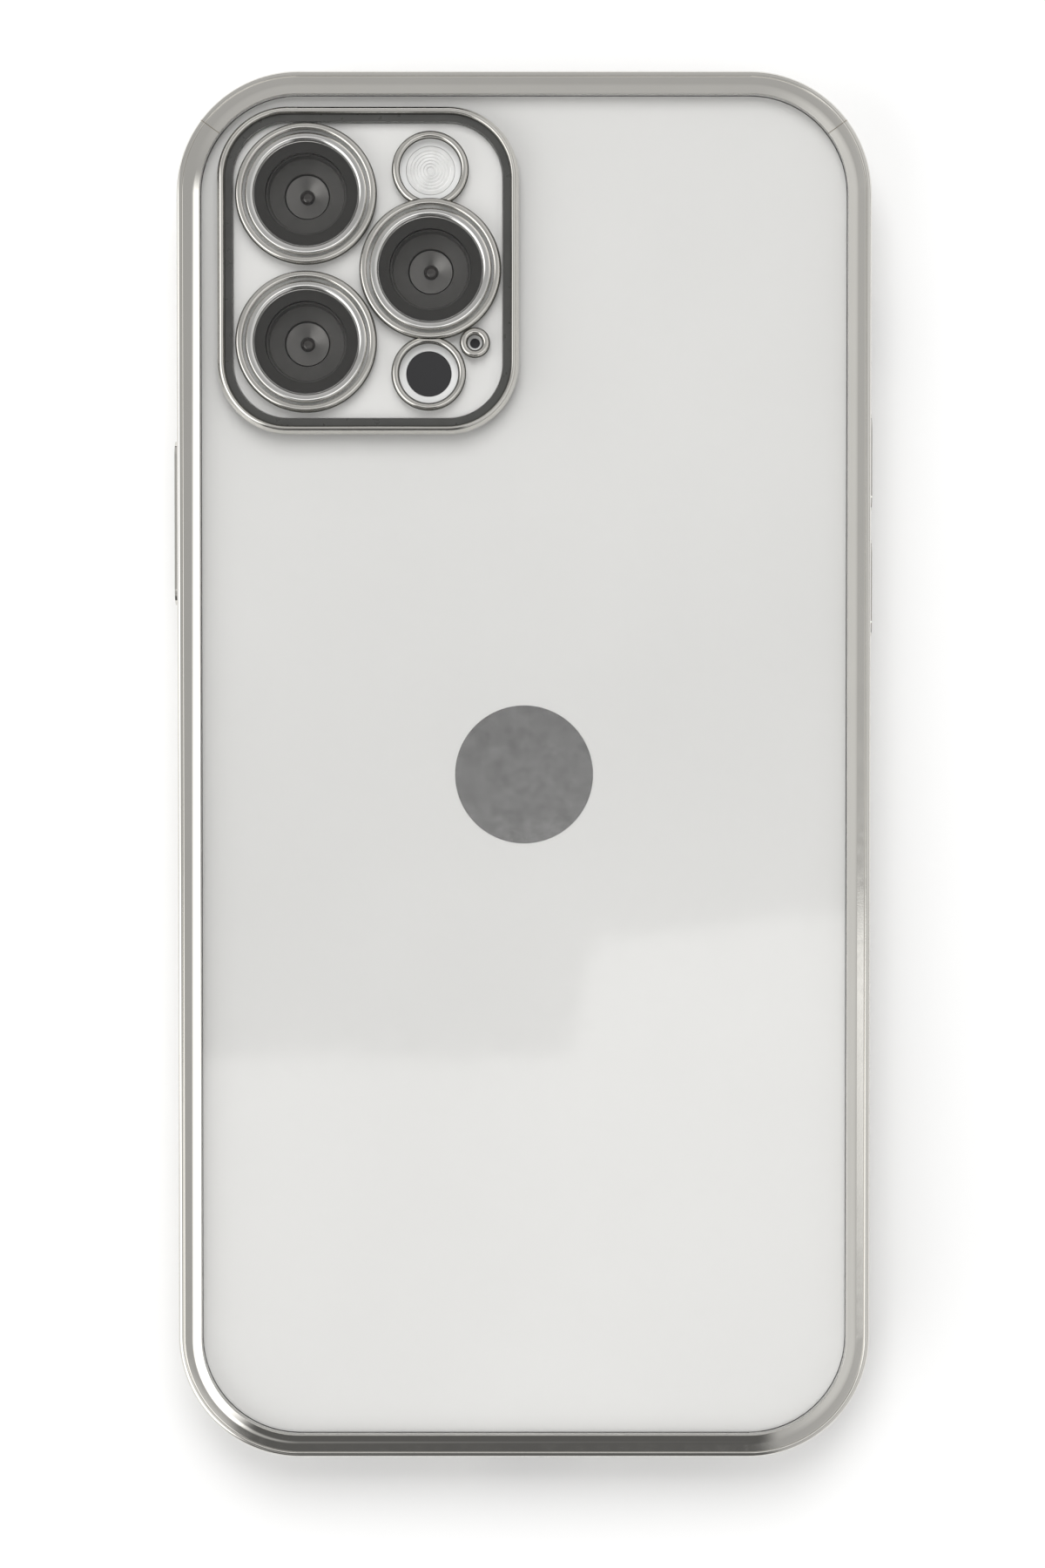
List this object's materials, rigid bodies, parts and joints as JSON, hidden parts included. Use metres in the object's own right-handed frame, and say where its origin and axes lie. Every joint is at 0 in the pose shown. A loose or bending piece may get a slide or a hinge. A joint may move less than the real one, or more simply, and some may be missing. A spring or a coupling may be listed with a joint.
{
  "type": "smartphone",
  "caption": "Flat smartphone in a clear soft case with a plated edge, a corner camera island and sprung side keys.",
  "frame": {"origin": "middle of the outline, on the plane of the case's front lip, which the phone lies on", "axes": "+Z out of the back of the phone, +Y along its length towards the camera end, +X to the right seen from the back"},
  "size_m": [0.0761, 0.1504, 0.011],
  "materials": {
    "plated_edge": "mirror-bright warm nickel plating",
    "steel": "polished steel",
    "clear_case": "clear soft plastic, glossy",
    "dark_band": "dark grey, satin",
    "rear_white_glass": "silver-white satin glass",
    "light_plastic": "matte",
    "inlay_metal": "polished disc",
    "dark_rubber": "matte",
    "lens_glass": "coated lens cover glass",
    "black_metal": "black anodised",
    "sensor_glass": "glossy filter glass",
    "flash_diffuser": "ribbed translucent diffuser",
    "contact_gold": "gold plated",
    "black_glass": "black glass, glossy",
    "dark_plastic": "matte",
    "dark_mesh": "dark woven mesh",
    "battery_wrap": "satin foil",
    "flex_copper": "copper",
    "board": "solder mask",
    "heavy_metal": "sintered metal"
  },
  "bodies": {
    "phone": {"case_shell": "clear_case", "case_bumper": "plated_edge", "case_camera_frame": "plated_edge", "case_camera_band": "dark_band", "case_lens_guard": "clear_case", "case_lens_rings": "plated_edge", "case_small_rings": "plated_edge", "frame_band": "steel", "antenna_breaks": "light_plastic", "mid_plate": "steel", "rear_glass": "rear_white_glass", "rear_inlay": "inlay_metal", "rear_gasket": "dark_rubber", "camera_plateau": "rear_white_glass", "lens_rings": "steel", "lens_glasses": "lens_glass", "lens_barrel_wide": "black_metal", "camera_bracket": "steel", "image_sensors": "sensor_glass", "flash_lens": "flash_diffuser", "flash_led_board": "contact_gold", "depth_sensor_window": "black_glass", "depth_sensor_module": "black_metal", "rear_microphone": "dark_plastic", "display_glass": "black_glass", "display_panel": "black_glass", "display_gasket": "dark_rubber", "earpiece_mesh": "dark_mesh", "earpiece_speaker": "dark_plastic", "front_camera": "black_metal", "front_sensor_bar": "black_metal", "battery": "battery_wrap", "battery_flex": "flex_copper", "logic_board": "board", "board_shields": "steel", "internal_screws": "steel", "display_flex": "flex_copper", "haptic_housing": "steel", "loudspeaker": "dark_plastic", "bottom_grilles": "dark_mesh", "bottom_microphones": "contact_gold", "charge_port": "steel", "bottom_screws": "steel", "wireless_coil": "flex_copper", "magnet_ring": "heavy_metal", "sim_tray": "steel", "sim_card": "contact_gold", "sim_reader": "steel", "button_switches": "contact_gold"},
    "side_key": {"side_button": "steel", "case_side_button_cover": "plated_edge"},
    "volume_up_key": {"volume_up_button": "steel", "case_volume_up_cover": "plated_edge"},
    "volume_down_key": {"volume_down_button": "steel", "case_volume_down_cover": "plated_edge"},
    "mute_lever": {"mute_switch": "steel"},
    "haptic_weight": {"haptic_mass": "heavy_metal"},
    "main_lens": {"lens_barrel_main": "black_metal"},
    "tele_lens": {"lens_barrel_tele": "black_metal"}
  },
  "joints": [
    {"name": "side_key_press", "type": "slide", "parent": "phone", "child": "side_key", "axis": [1, 0, 0], "range_m": [0, 0.0003], "stiffness_N_per_m": 6000, "springref_m": -0.0002},
    {"name": "volume_up_press", "type": "slide", "parent": "phone", "child": "volume_up_key", "axis": [-1, 0, 0], "range_m": [0, 0.0003], "stiffness_N_per_m": 6000, "springref_m": -0.0002},
    {"name": "volume_down_press", "type": "slide", "parent": "phone", "child": "volume_down_key", "axis": [-1, 0, 0], "range_m": [0, 0.0003], "stiffness_N_per_m": 6000, "springref_m": -0.0002},
    {"name": "mute_slide", "type": "slide", "parent": "phone", "child": "mute_lever", "axis": [0, 0, 1], "range_m": [0, 0.0012]},
    {"name": "haptic_slide", "type": "slide", "parent": "phone", "child": "haptic_weight", "axis": [1, 0, 0], "range_m": [-0.0006, 0.0006], "stiffness_N_per_m": 3000},
    {"name": "main_focus", "type": "slide", "parent": "phone", "child": "main_lens", "axis": [0, 0, 1], "range_m": [0, 0.0003], "stiffness_N_per_m": 300},
    {"name": "tele_focus", "type": "slide", "parent": "phone", "child": "tele_lens", "axis": [0, 0, 1], "range_m": [0, 0.0003], "stiffness_N_per_m": 300}
  ]
}
